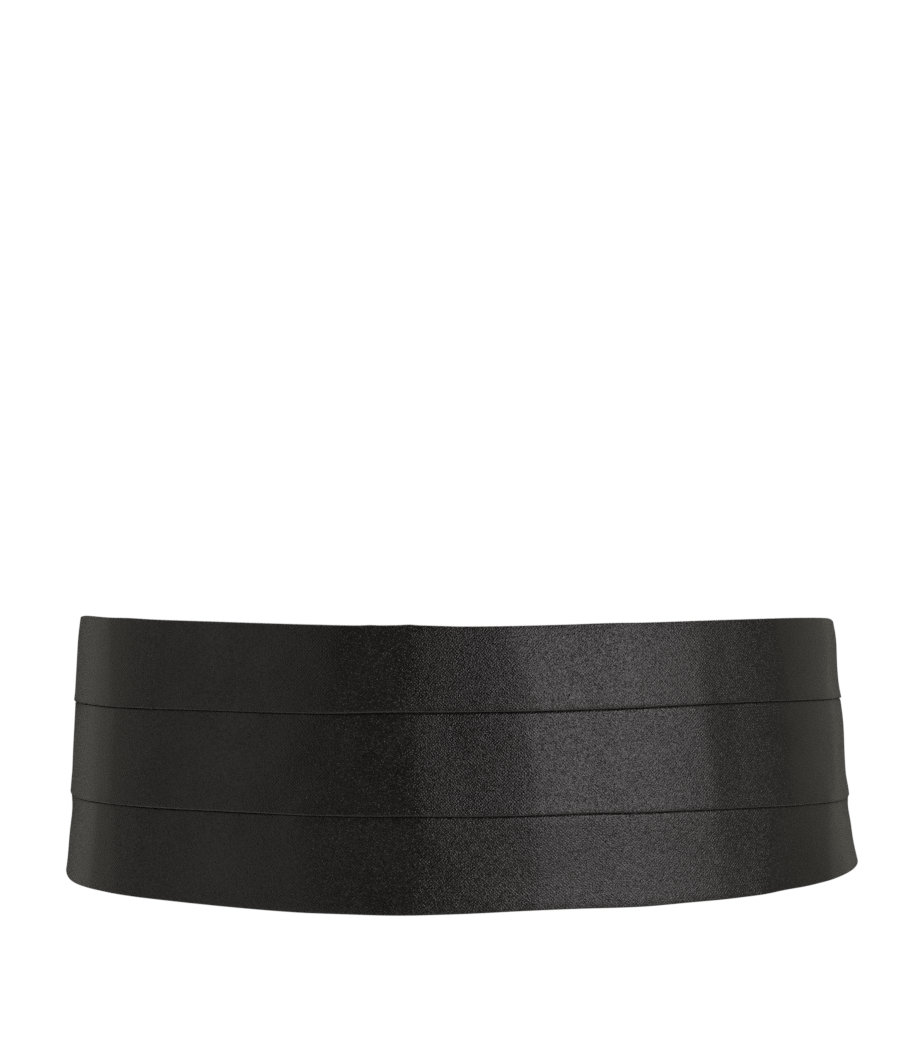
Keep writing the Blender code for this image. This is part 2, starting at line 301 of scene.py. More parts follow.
# --- Sewing: lock stitches ---
STITCH_PITCH = 2.6 * MM
STITCH_GAP = 0.08
STITCH_RADIUS = 0.22 * MM
STITCH_SIDES = 8
# A stitch's rings from end to end: the share of its length, then rise and girth in thread radii
Ring = namedtuple("Ring", "share rise girth")
STITCH_RINGS = (
    Ring(0.0, -0.9, 0.45),
    Ring(0.12, 0.1, 0.9),
    Ring(0.3, 0.55, 1.0),
    Ring(0.5, 0.7, 1.0),
    Ring(0.7, 0.55, 1.0),
    Ring(0.88, 0.1, 0.9),
    Ring(1.0, -0.9, 0.45),
)
SEAM_SEARCH = 30.0 * MM
# Inward at the back of the waist, where the straps run straight
INWARD = np.array((0.0, -1.0, 0.0))
SEAM_HALF = 15.5 * MM
END_SEAM_ANGLES = (128.6, 125.6)
FOLD_BACK_SEAMS = (23.5 * MM, 35.0 * MM)
RETURN_SEAMS = (39.5 * MM,)

# --- Camera: at the photograph's place, level, a little above the waist ---
CAMERA_DISTANCE = 1.150
CAMERA_HEIGHT = 0.0985
CAMERA_LENS_MM = 89.35
CAMERA_SENSOR_MM = 36.0

# --- Floor and light ---
FLOOR_HEIGHT = -0.90
FLOOR_RADIUS = 2.25
FLOOR_FADES_FROM = 1.3
FLOOR_SIDES = 96
# Azimuth is from -Y towards +X; a pitch of 90 is upright and 0 faces down; middle is a height.
Softbox = namedtuple("Softbox", "name azimuth pitch distance middle width height power colour")
SOFTBOXES = (
    Softbox("key", 33.5, 90, 2.3, 0.25, 1.3, 1.1, 21.0, (1.0, 0.95, 0.96)),
    Softbox("key_wing", 60, 90, 2.3, 0.80, 0.6, 3.3, 3.4, (1.0, 0.95, 0.92)),
    Softbox("fill_left", -56, 90, 2.3, 0.80, 1.4, 3.3, 8.5, (1.0, 0.97, 0.94)),
    Softbox("rim_left", -119, 90, 2.3, 0.80, 2.3, 3.3, 8.5, (1.0, 0.97, 0.86)),
    Softbox("rim_right", 122, 90, 2.3, 0.80, 3.5, 3.3, 10.5, (1.0, 0.97, 0.82)),
    Softbox("back", 180, 45, 1.7, 1.70, 2.0, 1.2, 40.0, (1.0, 0.98, 0.94)),
    Softbox("ceiling", 0, 0, 0.0, 2.3, 3.0, 3.0, 60.0, (1.0, 0.99, 0.97)),
)
WHITE = (1.0, 1.0, 1.0, 1.0)

# --- Textures: laid out in millimetres; a noise seldom leaves its middle range ---
PER_METRE = (1000, 1000, 1000)
NOISE_MIDDLE = (0.3, 0.7)


def smoothstep(value):
    """From 0 to 1, level at both ends."""
    value = np.clip(value, 0.0, 1.0)
    return value * value * (3.0 - 2.0 * value)


def quick_start(share):
    return 1.0 - (1.0 - share) ** GROOVE_POWER


def slow_start(share):
    return share * share


def slow_end(share):
    return sin(share * pi / 2)


def rounded(share):
    """The height of a quarter circle: 0 where share is 0, and 1 from where it is 1."""
    return np.sqrt(1.0 - (1.0 - np.clip(share, 0.0, 1.0)) ** 2)


def unit(vectors):
    return vectors / np.maximum(np.linalg.norm(vectors, axis=-1, keepdims=True), TINY)


def run_along(points):
    """Distances from a path's first point to each of its points, along the first axis."""
    steps = np.linalg.norm(np.diff(points, axis=0), axis=-1)
    return np.concatenate((np.zeros_like(steps[:1]), np.cumsum(steps, axis=0)))


def half_circle(centre, radius, start, turn, steps):
    """Points of a half turn, without its first; turn is 1 for anticlockwise or -1."""
    angles = start + turn * pi * np.arange(1, steps + 1) / steps
    return [(centre[0] + radius * cos(a), centre[1] + radius * sin(a)) for a in angles]


# --- Shape of the worn garment ---


def hollow_points(angle, z, out):
    """Points beside the hollow's surface, from arrays of angles in degrees, heights and outs."""
    angle, z, out = np.broadcast_arrays(angle, z, out)
    side = np.where(angle < 0, -1.0, 1.0)
    turn = np.radians(np.abs(angle))
    waist = np.where(angle < 0, WAIST_HALF_LEFT, WAIST_HALF_RIGHT)
    hip = np.where(angle < 0, HIP_HALF_LEFT, HIP_HALF_RIGHT)
    flare = (np.clip(FLARE_START - z, 0.0, None) / (FLARE_START - FLARE_END)) ** FLARE_POWER
    half_width = waist + (hip - waist) * flare
    flat = np.where(turn > pi / 2, BACK_FLAT_HALF, 0.0)
    depth = np.where(turn > pi / 2, BACK_DEPTH, FRONT_DEPTH + HIP_EXTRA_DEPTH * flare)
    round_width = half_width - flat
    normal_x, normal_y = np.sin(turn) / round_width, -np.cos(turn) / depth
    length = np.hypot(normal_x, normal_y)
    x = flat + round_width * np.sin(turn) + out * normal_x / length
    y = -depth * np.cos(turn) + out * normal_y / length
    return np.stack((side * x, y, z), axis=-1)


def sections_at(angle):
    """The values of SECTIONS_MM at an array of angles, read off smooth curves, in metres."""
    known = np.array([row.angle for row in SECTIONS_MM], float)
    left = np.clip(np.searchsorted(known, angle) - 1, 0, len(known) - 2)
    span = known[left + 1] - known[left]
    u = (angle - known[left]) / span
    values = []
    for name in Section._fields[1:]:
        column = np.array([getattr(row, name) for row in SECTIONS_MM])
        slope = np.gradient(column, known)
        start = (1 + 2 * u) * (1 - u) ** 2 * column[left] + u * (1 - u) ** 2 * slope[left] * span
        end = u * u * (3 - 2 * u) * column[left + 1] + u * u * (u - 1) * slope[left + 1] * span
        values.append((start + end) * MM)
    return Section(angle, *values)


def uneven(row, along):
    """The row's lines, with the worn cloth's small rises."""
    lines = row._asdict()
    lines["top"] = row.top + TOP_RAISE
    lines["fold_1"] = row.fold_1 + FOLD_RAISE
    lines["fold_2"] = row.fold_2 + FOLD_RAISE
    lines["hem"] = row.hem - HEM_DROP
    for waver in WAVERS:
        share = np.exp(-(((along / MM - waver.along) / waver.half_width) ** 2))
        lines[waver.line] = lines[waver.line] + waver.rise * MM * share
    return Section(**lines)


def waist_run():
    """Angles round the front, and the distance from centre front at each."""
    angle = np.linspace(-FRONT_END_ANGLE, FRONT_END_ANGLE, WAIST_STEPS)
    run = run_along(hollow_points(angle, 0.0, OPEN_LEVELS.outer))
    return angle, run - np.interp(0.0, angle, run)


def angles_along(along):
    """The angle round the waist of each distance from centre front."""
    angle, run = waist_run()
    return np.interp(along, run, angle)


def column_places():
    """Distances from centre front of the shell's columns, closer together at the creases."""
    _, run = waist_run()
    fine = np.linspace(run[0], run[-1], PLACING_STEPS)
    density = np.full_like(fine, 1.0 / COLUMN_SPACING)
    for crease in CREASES:
        leaning = abs(sin(radians(crease.lean))) * min(crease.run, CLOSE_RUN)
        reach = leaning + CLOSE_REACH_GROWTH * crease.bend.soft + CLOSE_REACH
        spacing = CLOSE_SPACING + CLOSE_SPACING_GROWTH * crease.bend.soft
        nearness = np.exp(-(((fine - crease.along * MM) / (reach * MM)) ** 4))
        density = np.maximum(density, nearness / (spacing * MM))
    filled = np.concatenate(([0.0], np.cumsum((density[1:] + density[:-1]) / 2)))
    return np.interp(np.linspace(0.0, filled[-1], COLUMNS), filled, fine)


def levels_at(angle):
    """Where the cloth's layers lie: open round the front, pressed flat at its ends."""
    pressed = smoothstep((np.abs(angle) - PRESSING_STARTS) / (FRONT_END_ANGLE - PRESSING_STARTS))
    return Levels(*(a + (b - a) * pressed for a, b in zip(OPEN_LEVELS, PRESSED_LEVELS)))


# A stop of the cloth's path: "outer" is 1 on a band that shows, 0 on the layer tucked under it.
Stop = namedtuple("Stop", "out z band outer")


def half_turn(centre, radius, start, turn, steps, band, outer):
    """Stops of a half circle, without its first; outer is its (first, last) value."""
    places = half_circle(centre, radius, start, turn, steps)
    shares = np.linspace(*outer, steps + 1)[1:]
    return [Stop(out, z, band, share) for (out, z), share in zip(places, shares)]


def line(start, end, steps, band, outer, ease=float):
    """Stops between two places, without the first; ease bends the way out between them."""
    stops = []
    for step in range(1, steps + 1):
        share = step / steps
        out = start[0] + (end[0] - start[0]) * ease(share)
        stops.append(Stop(out, start[1] + (end[1] - start[1]) * share, band, outer))
    return stops


def face(start, end, level, band):
    """Stops of a band that shows, without the first.

    Below a fold it first comes out from under it. It nears its end slowly.
    """
    stops = []
    if band > 0:
        free = (start[0] + GROOVE_SHARE * (level.outer - level.inner), start[1] - GROOVE_HEIGHT)
        stops = line(start, free, GROOVE_STEPS, band, 1.0, quick_start)
        start = free
    return stops + line(start, end, BAND_STEPS, band, 1.0, slow_end)


def pleated_band(start, band, fold, tuck, level):
    """Stops of a band and of the pleat at its lower edge, to where the next band begins."""
    half_pitch = (level.outer - level.inner) / 4
    open_width = OPEN_LEVELS.outer - OPEN_LEVELS.inner
    lip_out = level.outer + LIP_FLARE * (level.outer - level.inner) / open_width
    lip_radius = (lip_out - level.middle) / 2
    edge_z, tuck_z = fold + half_pitch + SATIN_THICKNESS / 2, fold + tuck
    lip = (level.outer, edge_z + LIP_HEIGHT * tuck / FULL_TUCK)
    fold_centre = (level.middle + lip_radius, edge_z)
    tuck_centre = (level.inner + half_pitch, tuck_z)
    stops = face(start, lip, level, band)
    stops += line(lip, (lip_out, edge_z), LIP_STEPS, band, 1.0, slow_start)
    stops += half_turn(fold_centre, lip_radius, 0.0, -1, FOLD_STEPS, band, (1.0, 0.5))
    stops += line(stops[-1], (level.middle, tuck_z), HIDDEN_STEPS, band, 0.5)
    stops += half_turn(tuck_centre, half_pitch, 0.0, 1, TUCK_STEPS, band, (0.5, 0.5))
    return stops + line(stops[-1], (level.inner, fold), HIDDEN_STEPS, band, 0.0)


def pleat_stops(row, level):
    """The cloth's middle line, from inside the top edge to inside the hem.

    Each band leans out to its folded edge, turns back up behind itself by the pleat's depth,
    and folds down again as the next band. Both outer edges are turned in.
    """
    edge = EDGE_RADIUS + SATIN_THICKNESS / 2
    inside_top = level.top - 2 * EDGE_RADIUS
    top_centre = (level.top - EDGE_RADIUS, row.top - edge)
    stops = [Stop(inside_top, row.top - EDGE_TURNED_IN, 0, 1.0)]
    stops += line(stops[0], (inside_top, row.top - edge), HIDDEN_STEPS, 0, 1.0)
    stops += half_turn(top_centre, EDGE_RADIUS, pi, -1, FOLD_STEPS, 0, (1.0, 1.0))
    for band, fold in enumerate((row.fold_1, row.fold_2)):
        stops += pleated_band(stops[-1], band, fold, row.tuck, level)
    stops += face(stops[-1], (level.hem, row.hem + edge), level, 2)
    hem_centre = (level.hem - EDGE_RADIUS, row.hem + edge)
    stops += half_turn(hem_centre, EDGE_RADIUS, 0.0, -1, FOLD_STEPS, 2, (1.0, 1.0))
    end = (level.hem - 2 * EDGE_RADIUS, row.hem + EDGE_TURNED_IN)
    return stops + line(stops[-1], end, HIDDEN_STEPS, 2, 1.0)


def relief(band, along, z):
    """How far a band stands out from its plain form, summed over its creases and swells."""
    total = np.zeros(np.broadcast(along, z).shape)
    for crease in CREASES:
        if crease.band != band:
            continue
        beside, above = along - crease.along * MM, z - crease.height * MM
        slant = radians(crease.lean)
        across = beside * cos(slant) - above * sin(slant)
        down = np.abs(beside * sin(slant) + above * cos(slant))
        bend, run = crease.bend, crease.run * MM
        reach, soft = bend.reach * MM, bend.soft * MM
        ridge = radians(bend.turn) / 2 * reach * np.exp(-np.hypot(across, soft) / reach)
        total += ridge * smoothstep((CREASE_END * run - down) / run)
    for swell in SWELLS:
        if swell.band == band:
            beside = (along / MM - swell.along) / SWELL_HALF_LENGTH
            above = (z / MM - swell.height) / swell.half_height
            total += swell.push * MM * np.exp(-beside * beside - above * above)
    return total


def front_grid():
    """The pleated front's middle surface: points, and their UVs in metres of cloth.

    Behind a fold the tucked layer goes over to the form of the band below. Where it would come
    through the band that covers it, that band is lifted.
    """
    along = column_places()
    angle = angles_along(along)
    row = uneven(sections_at(angle), along)
    stops = pleat_stops(row, levels_at(angle))
    out = np.stack([np.broadcast_to(stop.out, along.shape) for stop in stops], axis=1)
    z = np.stack([np.broadcast_to(stop.z, along.shape) for stop in stops], axis=1)
    bands = [relief(band, along[:, None], z) for band in range(3)]
    for index, stop in enumerate(stops):
        own = tucked = bands[stop.band][:, index]
        if stop.band < 2:
            fold = (row.fold_1, row.fold_2)[stop.band]
            under = smoothstep((fold + row.tuck - z[:, index]) / row.tuck)
            tucked = own + (bands[stop.band + 1][:, index] - own) * under
        pushed = tucked - own - CLEARANCE
        lift = (pushed + np.hypot(pushed, CLEARANCE_SOFTNESS)) / 2
        out[:, index] += stop.outer * (own + lift) + (1.0 - stop.outer) * tucked
    points = hollow_points(angle[:, None], z, out)
    down = run_along(points.swapaxes(0, 1)).T
    uv = np.stack((np.broadcast_to(along[:, None], down.shape), down), axis=-1)
    return points, uv


# --- Meshes ---


def grid_normals(points):
    """Which way a grid of points faces at each of them."""
    across = np.gradient(points, axis=0)
    down = np.gradient(points, axis=1)
    return unit(np.cross(down, across))


def rim_of(rows, columns):
    """Grid places round the border, in order."""
    top = [(row, 0) for row in range(rows - 1)]
    right = [(rows - 1, column) for column in range(columns - 1)]
    bottom = [(row, columns - 1) for row in range(rows - 1, 0, -1)]
    left = [(0, column) for column in range(columns - 1, 0, -1)]
    return top + right + bottom + left


def shell(name, points, uv, thickness, material):
    """A closed wall about a grid of middle points, with a rounded rim."""
    rows, columns = points.shape[:2]
    normals = grid_normals(points)
    half = np.broadcast_to(np.asarray(thickness), (rows, columns))[..., None] / 2
    count = rows * columns
    index = np.arange(count).reshape(rows, columns)
    first, second = index[:-1, :-1].ravel(), index[1:, :-1].ravel()
    third, fourth = index[1:, 1:].ravel(), index[:-1, 1:].ravel()
    outer = np.stack((first, fourth, third, second), axis=1)
    inner = np.stack((first, second, third, fourth), axis=1) + count
    rim = rim_of(rows, columns)
    where = np.array([index[place] for place in rim])
    outward = np.zeros_like(points)
    outward[0] -= unit(points[1] - points[0])
    outward[-1] += unit(points[-1] - points[-2])
    outward[:, 0] -= unit(points[:, 1] - points[:, 0])
    outward[:, -1] += unit(points[:, -1] - points[:, -2])
    lips = (points + unit(outward) * half).reshape(-1, 3)[where]
    lip = 2 * count + np.arange(len(rim))
    after, lip_after = np.roll(where, -1), np.roll(lip, -1)
    upper = np.stack((where, after, lip_after, lip), axis=1)
    lower = np.stack((lip, lip_after, after + count, where + count), axis=1)
    faces = np.concatenate((outer, inner, upper, lower))
    vertices = np.concatenate(
        ((points + normals * half).reshape(-1, 3), (points - normals * half).reshape(-1, 3), lips)
    )
    flat_uv = uv.reshape(-1, 2)
    all_uv = np.concatenate((flat_uv, flat_uv, flat_uv[where]))
    return mesh_object(name, vertices, faces, all_uv, material)


def placed(name, data):
    """A new object, put in the scene."""
    obj = bpy.data.objects.new(name, data)
    bpy.context.scene.collection.objects.link(obj)
    return obj


def mesh_object(name, vertices, faces, uv, material):
    """A smooth-shaded object from arrays; every face has the same number of corners."""
    mesh = bpy.data.meshes.new(name)
    mesh.from_pydata(vertices.tolist(), [], faces.tolist())
    layer = mesh.uv_layers.new(name="UVMap")
    layer.data.foreach_set("uv", uv[faces.ravel()].astype(np.float32).ravel())
    mesh.materials.append(material)
    mesh.shade_smooth()
    return placed(name, mesh)


# --- Materials ---


class Shader:
    """A node material with a Principled shader, and short ways to add and join its nodes."""

    def __init__(self, name, **sockets):
        self.material = bpy.data.materials.new(name)
        self.material.use_nodes = True
        self.tree = self.material.node_tree
        self.principled = self.tree.nodes["Principled BSDF"]
        self.surface(**sockets)

    def put(self, socket, value):
        """Joins another node's output to a socket, or gives the socket a plain value."""
        if isinstance(value, bpy.types.NodeSocket):
            self.tree.links.new(value, socket)
        else:
            socket.default_value = value

    def surface(self, **sockets):
        """Fills the Principled shader's sockets; an underscore stands for a space."""
        for name, value in sockets.items():
            self.put(self.principled.inputs[name.replace("_", " ")], value)

    def add(self, kind, inputs=(), **settings):
        """A node; inputs maps its sockets to values or to other nodes' outputs."""
        node = self.tree.nodes.new("ShaderNode" + kind)
        for name, value in settings.items():
            setattr(node, name, value)
        for socket, value in dict(inputs).items():
            self.put(node.inputs[socket], value)
        return node

    def scaled(self, place, scale):
        return self.add("Mapping", {"Vector": place, "Scale": scale}).outputs["Vector"]

    def cloth_place(self, turn):
        """UVs in millimetres of cloth, turned by an angle in degrees."""
        uv = self.add("UVMap", uv_map="UVMap").outputs["UV"]
        inputs = {"Vector": self.scaled(uv, PER_METRE), "Rotation": (0, 0, radians(turn))}
        return self.add("Mapping", inputs).outputs["Vector"]

    def noise(self, place, scale, detail, stretch=(1, 1, 1)):
        inputs = {"Vector": self.scaled(place, stretch), "Scale": scale, "Detail": detail}
        return self.add("TexNoise", inputs, noise_dimensions="2D").outputs["Fac"]

    def waves(self, place, **sockets):
        """Even lines, bent a little out of true."""
        inputs = {name.replace("_", " "): value for name, value in sockets.items()}
        return self.add("TexWave", {"Vector": place, **inputs}).outputs["Fac"]

    def math(self, operation, first, second):
        return self.add("Math", {0: first, 1: second}, operation=operation).outputs["Value"]

    def ranged(self, value, start, end, low=0.0, high=1.0, **settings):
        """The stretch of a value from start to end, made to run from low to high."""
        inputs = {"Value": value, "From Min": start, "From Max": end, "To Min": low, "To Max": high}
        return self.add("MapRange", inputs, **settings).outputs["Result"]

    def spread(self, noise, low, high):
        """A noise's middle range, made to run from low to high."""
        return self.ranged(noise, *NOISE_MIDDLE, low, high)

    def colours(self, factor, first, second):
        """A mix of two colours."""
        mix = self.add("Mix", data_type="RGBA")
        for name, value in (("Factor", factor), ("A", (*first, 1.0)), ("B", (*second, 1.0))):
            self.put([s for s in mix.inputs if s.name == name and s.enabled][-1], value)
        return next(s for s in mix.outputs if s.enabled)

    def bump(self, height, distance):
        inputs = {"Height": height, "Distance": distance, "Strength": 1.0}
        self.surface(Normal=self.add("Bump", inputs).outputs["Normal"])


def satin_material():
    """Black satin: long floats catch the light as a fine crossed speckle.

    Its gloss is duller where it is seen edge on.
    """
    shader = Shader("satin", Anisotropic=0.5, Sheen_Weight=0.10, Sheen_Roughness=0.35)
    tangent = shader.add("Tangent", direction_type="UV_MAP", uv_map="UVMap").outputs["Tangent"]
    shader.surface(Sheen_Tint=(1.0, 0.96, 0.86, 1.0), Tangent=tangent)
    places = shader.cloth_place(45), shader.cloth_place(-45)
    stretch = (0.8, 1.25, 1)
    speckle = shader.math("ADD", *(shader.noise(place, 1.85, 1.0, stretch) for place in places))
    bent = {"Distortion": 1.4, "Detail": 1.0, "Detail_Scale": 1.2}
    weave = shader.math("ADD", *(shader.waves(place, Scale=0.33, **bent) for place in places))
    weave_share, weave_height = 0.26, 0.12 * MM
    height = shader.math("ADD", speckle, shader.math("MULTIPLY", weave, weave_share))
    shader.bump(height, weave_height)
    mean = shader.math("MULTIPLY", speckle, 0.5)
    facing = shader.add("LayerWeight", {"Blend": 0.5}).outputs["Facing"]
    grazing = shader.ranged(facing, start=0.68, end=0.95, high=0.55)
    gloss = shader.math("ADD", shader.spread(mean, 0.21, 0.12), grazing)
    # Base colour: a random tone from the cloud, plus the speckle as painted glints, lighter where
    # the floats stand raised and glossier
    cloud = shader.noise(shader.cloth_place(0), scale=0.045, detail=3.0)
    cloud = shader.math("MULTIPLY", cloud, 0.5)
    tone_and_painted_glints = shader.math("ADD", cloud, shader.math("MULTIPLY", mean, 0.5))
    dark, light = (0.008, 0.0078, 0.0076), (0.017, 0.0165, 0.0155)
    colour = shader.colours(shader.spread(tone_and_painted_glints, 0.0, 1.0), dark, light)
    shader.surface(Roughness=gloss, Base_Color=colour)
    return shader.material


def webbing_material():
    """Woven elastic: matt, crossed by fine picks."""
    shader = Shader("webbing", Sheen_Weight=0.10, Sheen_Roughness=0.5)
    place = shader.cloth_place(0)
    picks = shader.waves(place, Scale=0.45, Distortion=0.6, Detail=1.0)
    grain = shader.noise(place, scale=1.4, detail=2.0)
    shader.bump(shader.math("ADD", picks, shader.math("MULTIPLY", grain, 0.7)), 0.10 * MM)
    dark, light = (0.008, 0.008, 0.0085), (0.022, 0.021, 0.020)
    colour = shader.colours(shader.spread(grain, 0.0, 1.0), dark, light)
    shader.surface(Base_Color=colour, Roughness=shader.spread(grain, 0.82, 0.66))
    return shader.material


def thread_material():
    """Twisted black sewing thread, with painted shade in the twist's grooves and a painted
    highlight on its crowns.
    """
    shader = Shader("thread", Sheen_Weight=0.2)
    twist = shader.waves(shader.cloth_place(35), Scale=0.8, Distortion=0.2)
    shader.bump(twist, 0.06 * MM)
    # The colour follows the twist's height: painted shade in its grooves, painted highlight on its
    # crowns
    colour = shader.colours(twist, (0.006, 0.006, 0.006), (0.030, 0.029, 0.027))
    shader.surface(Base_Color=colour, Roughness=shader.spread(twist, 0.65, 0.5))
    return shader.material


def metal_material():
    """Black lacquered brass, with fine scuffs and slightly worn edges."""
    shader = Shader("black_metal", Coat_Weight=0.5, Coat_Roughness=0.18)
    place = shader.scaled(shader.add("TexCoord").outputs["Object"], PER_METRE)
    scuffs = shader.add("TexNoise", {"Vector": place, "Scale": 0.9, "Detail": 5.0}).outputs["Fac"]
    edge = shader.add("NewGeometry").outputs["Pointiness"]
    scuffed_edge = shader.math("ADD", edge, shader.math("MULTIPLY", scuffs, 0.12))
    worn = shader.ranged(scuffed_edge, 0.66, 0.80)
    colour = shader.colours(worn, (0.012, 0.012, 0.013), (0.15, 0.14, 0.13))
    shader.surface(Base_Color=colour, Metallic=shader.spread(worn, 0.0, 1.0))
    shader.surface(Roughness=shader.spread(scuffs, 0.30, 0.42))
    shader.bump(scuffs, 0.02 * MM)
    return shader.material


def floor_material():
    """Pale paper that fades out towards its rim."""
    shader = Shader("floor_paper", Roughness=0.9, Base_Color=(0.85, 0.85, 0.84, 1.0))
    place = shader.add("TexCoord").outputs["Object"]
    distance = shader.add("VectorMath", {0: place}, operation="LENGTH").outputs["Value"]
    fading = (FLOOR_FADES_FROM, FLOOR_RADIUS, 1.0, 0.0)
    fade = shader.ranged(distance, *fading, interpolation_type="SMOOTHSTEP")
    shader.surface(Alpha=fade)
    return shader.material


# --- Camera, light and floor ---


def make_camera():
    """Level, and facing the front."""
    data = bpy.data.cameras.new("camera")
    data.sensor_width = CAMERA_SENSOR_MM
    data.lens = CAMERA_LENS_MM
    camera = placed("camera", data)
    camera.location = (0.0, -CAMERA_DISTANCE, CAMERA_HEIGHT)
    camera.rotation_euler = (pi / 2, 0.0, 0.0)
    bpy.context.scene.camera = camera


def make_softbox(box):
    """A lit panel that the camera doesn't see."""
    data = bpy.data.lights.new(box.name, "AREA")
    data.shape = "RECTANGLE"
    data.size, data.size_y = box.width, box.height
    data.energy, data.color = box.power, box.colour
    light = placed(box.name, data)
    azimuth = radians(box.azimuth)
    light.location = (sin(azimuth) * box.distance, -cos(azimuth) * box.distance, box.middle)
    light.rotation_euler = (radians(box.pitch), 0.0, azimuth)
    light.visible_camera = False


def make_world():
    """A white backdrop that only the camera sees, and that lights nothing."""
    world = bpy.data.worlds.new("studio")
    world.use_nodes = True
    tree = world.node_tree
    tree.nodes.clear()
    white, unlit = (tree.nodes.new("ShaderNodeBackground") for _ in range(2))
    white.inputs["Color"].default_value = WHITE
    unlit.inputs["Strength"].default_value = 0.0
    path = tree.nodes.new("ShaderNodeLightPath")
    mix = tree.nodes.new("ShaderNodeMixShader")
    output = tree.nodes.new("ShaderNodeOutputWorld")
    tree.links.new(path.outputs["Is Camera Ray"], mix.inputs["Fac"])
    tree.links.new(unlit.outputs[0], mix.inputs[1])
    tree.links.new(white.outputs[0], mix.inputs[2])
    tree.links.new(mix.outputs[0], output.inputs["Surface"])
    bpy.context.scene.world = world
    bpy.context.scene.view_settings.view_transform = "Standard"
    bpy.context.scene.cycles.use_denoising = False


def make_floor():
    mesh = bpy.data.meshes.new("floor")
    shape = bmesh.new()
    bmesh.ops.create_circle(shape, cap_ends=True, segments=FLOOR_SIDES, radius=FLOOR_RADIUS)
    shape.to_mesh(mesh)
    shape.free()
    mesh.materials.append(floor_material())
    floor = placed("floor", mesh)
    floor.location = (0.0, 0.0, FLOOR_HEIGHT)


# --- Pieces ---


def as_piece(obj, node=None):
    """Rides on the one body, and may stand in for a solid, which it hides."""
    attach(obj, "root")
    if node:
        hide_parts(node)
    return obj


def make_front(material):
    """The satin front, with its pleats and creases."""
    points, uv = front_grid()
    satin = shell("pleated_front_satin", points, uv, SATIN_THICKNESS, material)
    front = as_piece(satin, "pleated_front")
    return front


def plan_points(places, run, path):
    """Points of a path in plan at given distances along it."""
    return np.stack([np.interp(places, run, path[:, axis]) for axis in (0, 1)], axis=1)


def even_path(points, spacing, softening):
    """A path in plan at even steps, its corners rounded by a moving average.

    Gives its points and their distances along it.
    """
    points = np.array(points, float)
    fine_step = spacing / PATH_FINENESS
    run = run_along(points)
    fine = plan_points(np.arange(0.0, run[-1] + fine_step, fine_step), run, points)
    reach = int(AVERAGE_REACH * softening / fine_step)
    weight = np.exp(-((np.arange(-reach, reach + 1) * fine_step / softening) ** 2) / 2)
    weight /= weight.sum()
    before = 2 * fine[0] - fine[reach:0:-1]
    after = 2 * fine[-1] - fine[-2:-reach - 2:-1]
    padded = np.concatenate((before, fine, after))
    smooth = np.stack([np.convolve(padded[:, axis], weight, "valid") for axis in (0, 1)], axis=1)
    run = run_along(smooth)
    places = np.linspace(0.0, run[-1], round(run[-1] / spacing) + 1)
    return plan_points(places, run, smooth), places


def ribbon(name, path, run, across, thickness, material, width=1.0):
    """A band swept along a path in plan; across holds its columns' heights at full width."""
    z = np.broadcast_to(width, len(path))[:, None] * across
    x, y = (np.broadcast_to(path[:, axis, None], z.shape) for axis in (0, 1))
    uv = np.stack((np.broadcast_to(run[:, None], z.shape), z), axis=-1)
    return shell(name, np.stack((x, y, z), axis=-1), uv, thickness, material)


def strap_path(side, back_path):
    """A strap's middle line in plan: round the hollow from the front's end, then along back_path.

    back_path holds (distance from centre back towards the strap's own side, out).
    """
    angle = np.linspace(STRAP_START_ANGLE, 180.0, STRAP_STATIONS)
    rise = smoothstep((angle - STRAP_RISE_ANGLE) / (180.0 - STRAP_RISE_ANGLE))
    out = STRAP_SEWN_LEVEL + (MAIN_LEVEL - STRAP_SEWN_LEVEL) * rise
    round_part = hollow_points(side * angle, 0.0, out)[:, :2].tolist()
    back_part = [(side * distance, BACK_DEPTH + out) for distance, out in back_path]
    return even_path(round_part + back_part, STRAP_ROW_SPACING, STRAP_SOFTENING)


def make_strap(name, node, side, back_path, material):
    """Ribbed elastic, its long cords showing as ribs and its selvedges rounded."""
    path, run = strap_path(side, back_path)
    share = np.linspace(0.0, 1.0, RIB_COUNT * RIB_STEPS + 1)
    rib = np.abs(np.sin(pi * RIB_COUNT * share)) ** RIB_POWER
    selvedge = np.minimum(share, 1.0 - share) * STRAP_WIDTH / (STRAP / 2)
    thickness = STRAP * (1.0 - RIB_DEPTH + RIB_DEPTH * rib) * rounded(selvedge)
    across = (0.5 - share) * STRAP_WIDTH
    strap = as_piece(ribbon(name, path, run, across, thickness, material), node)
    return strap


def make_loop_strap(material):
    """The strap that folds round the loop's far bar and is sewn back on itself."""
    path = [(LOOP_SPAN, MAIN_LEVEL)]
    path += half_circle((LOOP_SPAN, LOOP_LEVEL), WRAP_RADIUS, pi / 2, 1, TURN_STEPS)
    path += [(LOOP_SPAN + FOLD_BACK_TAPER, INNER_LEVEL), (FOLD_BACK_END, INNER_LEVEL)]
    return make_strap("loop_strap_webbing", "loop_strap", -1, path, material)


def make_hook_strap(material):
    """The strap that crosses the slide's slots, over its middle bar, and returns inside."""
    half_rise = (OVER_LEVEL - MAIN_LEVEL) / 2
    slot_middle = (BAR_B[1] + BAR_C[0]) / 2
    run = half_rise / tan(STRAP_CROSSING)
    turn_level = (OVER_LEVEL + INNER_LEVEL) / 2
    turn_radius = (OVER_LEVEL - INNER_LEVEL) / 2
    path = [(slot_middle + run, MAIN_LEVEL), (slot_middle - run, OVER_LEVEL)]
    path.append((BAR_B[0], OVER_LEVEL))
    path += half_circle((BAR_B[0], turn_level), turn_radius, pi / 2, 1, TURN_STEPS)
    path.append((RETURN_END, INNER_LEVEL))
    return make_strap("hook_strap_webbing", "hook_strap", 1, path, material)


